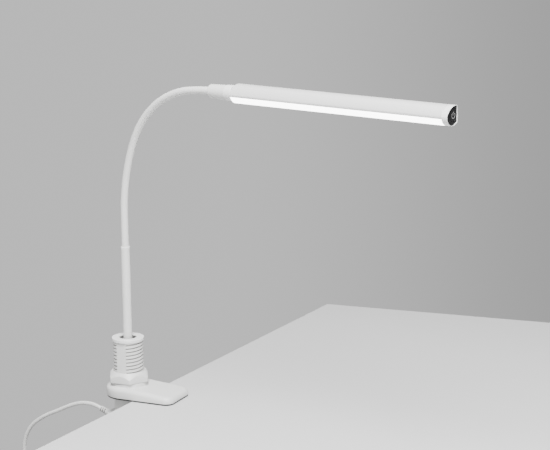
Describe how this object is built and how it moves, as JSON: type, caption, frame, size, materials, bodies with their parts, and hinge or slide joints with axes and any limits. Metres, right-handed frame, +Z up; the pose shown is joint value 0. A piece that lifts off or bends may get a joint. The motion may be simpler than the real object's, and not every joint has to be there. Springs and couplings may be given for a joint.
{
  "type": "clip on reading lamp",
  "caption": "Reading lamp that screws onto a table edge, with a threaded stem clamp, a bendable neck and a slim swivelling lamp head with an end push button.",
  "frame": {"origin": "on the axis of the clamp's stem, level with the table top that the upper jaw's pad rests on", "axes": "+Z up along the stem, +X from the stem out over the table along the jaws, +Y along the table edge"},
  "size_m": [0.6023, 0.1465, 0.5836],
  "materials": {
    "white_plastic": "satin moulded plastic",
    "ring_plastic": "light smooth plastic",
    "rubber": "matt rubber",
    "cord_skin": "pale flexible sheath",
    "steel": "plain steel",
    "neck_metal": "satin pale paint",
    "lens": "milky diffusing plastic",
    "dark_plastic": "dark satin plastic",
    "circuit": "circuit board",
    "led_plastic": "phosphor and white housing"
  },
  "bodies": {
    "clamp": {"clamp_frame": "white_plastic", "stem_cap": "ring_plastic", "lower_pad": "rubber", "base_cover": "white_plastic", "base_screw_1": "steel", "base_screw_2": "steel", "strain_relief": "cord_skin", "cord_lead": "cord_skin", "cord_coil": "cord_skin", "cord_tie": "rubber", "cord_tail": "cord_skin", "usb_plug": "cord_skin", "usb_shell": "steel", "stem_wire": "dark_plastic", "neck_bush": "dark_plastic", "neck_lock_nut": "steel", "neck_sleeve": "neck_metal", "sleeve_ring": "ring_plastic", "neck_link_1": "neck_metal"},
    "jaw": {"upper_jaw": "white_plastic", "upper_pad": "rubber", "thrust_washer": "steel"},
    "nut": {"clamp_nut": "white_plastic"},
    "neck_2": {"neck_link_2": "neck_metal"},
    "neck_3": {"neck_link_3": "neck_metal"},
    "neck_4": {"neck_link_4": "neck_metal"},
    "neck_5": {"neck_link_5": "neck_metal"},
    "neck_6": {"neck_link_6": "neck_metal"},
    "neck_7": {"neck_link_7": "neck_metal", "head_collar": "white_plastic", "swivel_ring": "ring_plastic", "swivel_pin": "steel", "pin_clip": "steel"},
    "head": {"end_plate": "white_plastic", "plate_screw_1": "steel", "plate_screw_2": "steel", "head_shell": "white_plastic", "diffuser": "lens", "led_board": "circuit", "led_chips": "led_plastic", "driver_board": "circuit", "driver_parts": "dark_plastic", "end_cap": "ring_plastic", "button_bezel": "dark_plastic", "switch_board": "circuit", "tact_switch": "dark_plastic"},
    "button": {"power_button": "dark_plastic"}
  },
  "joints": [
    {"name": "jaw_slide", "type": "slide", "parent": "clamp", "child": "jaw", "axis": [0, 0, 1], "range_m": [-0.014, 0.033]},
    {"name": "nut_turn", "type": "hinge", "parent": "jaw", "child": "nut", "pos_m": [0, 0, 0.017], "axis": [0, 0, 1], "range_deg": [-630, 1485]},
    {"name": "neck_bend_1", "type": "hinge", "parent": "clamp", "child": "neck_2", "pos_m": [0, 0, 0.2065], "axis": [0.2588, 0.9659, 0], "range_deg": [-25, 20]},
    {"name": "neck_side_1", "type": "hinge", "parent": "neck_2", "child": "neck_3", "pos_m": [0.00425, -0.00114, 0.24926], "axis": [-0.9457, 0.2534, 0.2036], "range_deg": [-35, 35]},
    {"name": "neck_bend_2", "type": "hinge", "parent": "neck_3", "child": "neck_4", "pos_m": [0.01682, -0.00451, 0.29024], "axis": [0.2588, 0.9659, 0], "range_deg": [-25, 20]},
    {"name": "neck_side_2", "type": "hinge", "parent": "neck_4", "child": "neck_5", "pos_m": [0.03588, -0.00961, 0.32014], "axis": [-0.7026, 0.1883, 0.6862], "range_deg": [-35, 35]},
    {"name": "neck_bend_3", "type": "hinge", "parent": "neck_5", "child": "neck_6", "pos_m": [0.0636, -0.01704, 0.34157], "axis": [0.2588, 0.9659, 0], "range_deg": [-25, 20]},
    {"name": "neck_bend_4", "type": "hinge", "parent": "neck_6", "child": "neck_7", "pos_m": [0.09671, -0.02591, 0.35199], "axis": [0.2588, 0.9659, 0], "range_deg": [-25, 20]},
    {"name": "head_roll", "type": "hinge", "parent": "neck_7", "child": "head", "pos_m": [0.15846, -0.04246, 0.35395], "axis": [0.9659, -0.2588, 0], "range_deg": [-90, 90]},
    {"name": "power_press", "type": "slide", "parent": "head", "child": "button", "axis": [-0.9659, 0.2588, 0], "range_m": [0, 0.0008], "stiffness_N_per_m": 1200}
  ],
  "couplings": [
    {"joint": "nut_turn", "follows": "jaw_slide", "rad_per_m": 785.39}
  ]
}
